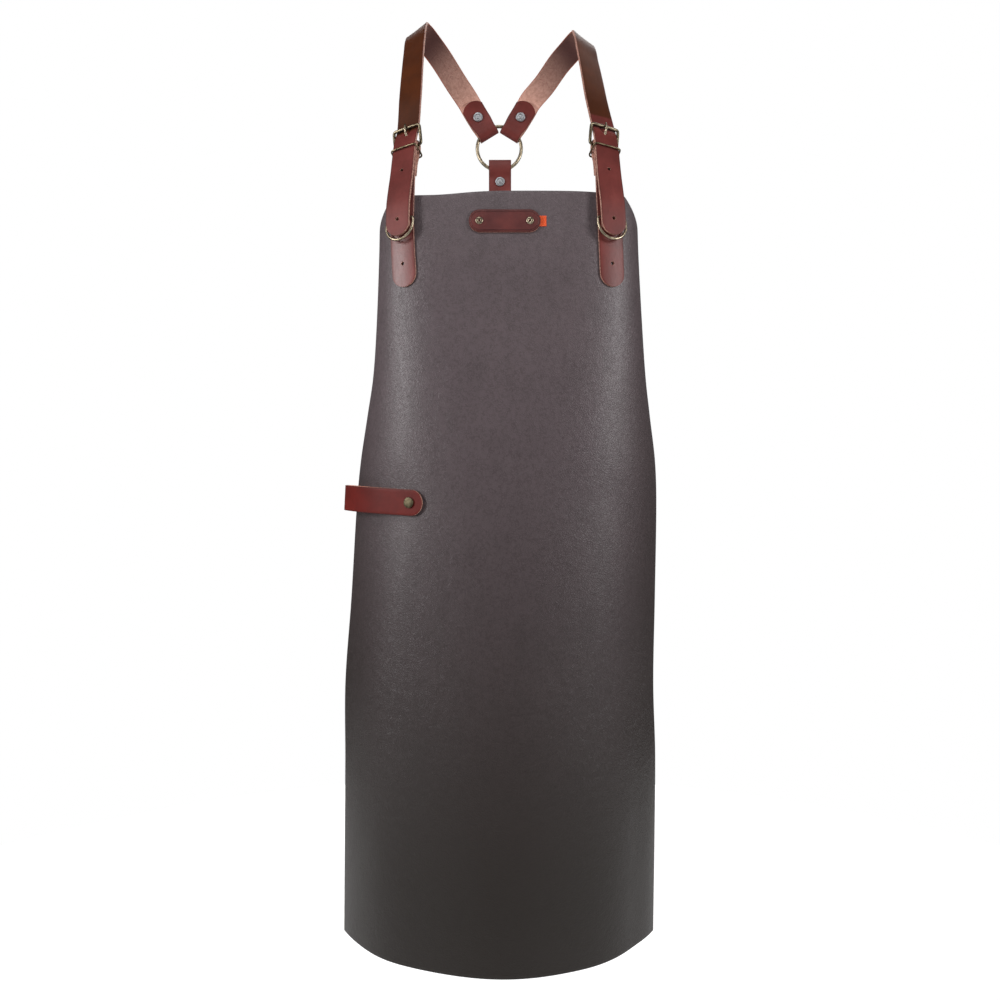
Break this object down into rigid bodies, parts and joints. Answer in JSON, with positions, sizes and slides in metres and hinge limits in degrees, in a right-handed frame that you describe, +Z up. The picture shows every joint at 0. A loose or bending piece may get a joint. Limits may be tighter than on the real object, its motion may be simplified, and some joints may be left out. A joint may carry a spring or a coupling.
{
  "type": "leather work apron",
  "caption": "Full-length leather bib apron in its worn shape, with buckled shoulder straps that cross to a ring at the back, D-rings, a sewn waist strap and a towel loop",
  "frame": {"origin": "Midway between the shoulders, under the tops of the two shoulder straps, where a wearer or a hanger holds it", "axes": "+Z up, +X to the right as seen from the front, the wearer faces -Y"},
  "size_m": [0.3854, 0.2341, 1.1293],
  "materials": {
    "panel": "soft taupe-grey full-grain leather, lightly pebbled",
    "leather": "firm russet strap leather, waxed sheen",
    "brass": "antique brass",
    "nickel": "dull nickel rivets",
    "ribbon": "orange woven ribbon"
  },
  "bodies": {
    "apron": {"apron_panel": "panel", "shoulder_strap_left": "leather", "shoulder_strap_right": "leather", "chest_tab_left": "leather", "chest_tab_right": "leather", "buckle_frame_left": "brass", "buckle_frame_right": "brass", "buckle_prong_left": "brass", "buckle_prong_right": "brass", "keeper_left": "brass", "keeper_right": "brass", "d_ring_loop_left": "leather", "d_ring_loop_right": "leather", "tab_rivet_left": "nickel", "tab_rivet_right": "nickel", "back_rivet_left": "nickel", "back_rivet_right": "nickel", "back_rivet_middle": "nickel", "back_ring": "brass", "back_strap": "leather", "waist_rivet": "nickel", "waist_strap": "leather", "waist_post": "nickel", "label": "leather", "label_ribbon": "ribbon", "label_rivet_left": "brass", "label_rivet_right": "brass", "towel_loop": "leather", "towel_rivet": "brass"},
    "d_ring_left": {"d_ring_left": "brass"},
    "d_ring_right": {"d_ring_right": "brass"}
  },
  "joints": [
    {"name": "d_ring_left_hinge", "type": "hinge", "parent": "apron", "child": "d_ring_left", "pos_m": [-0.11242, -0.10547, -0.26174], "axis": [-0.896, 0.4431, -0.0279], "range_deg": [0, 140]},
    {"name": "d_ring_right_hinge", "type": "hinge", "parent": "apron", "child": "d_ring_right", "pos_m": [0.12494, -0.10886, -0.26171], "axis": [-0.9328, -0.3598, -0.0221], "range_deg": [0, 140]}
  ]
}
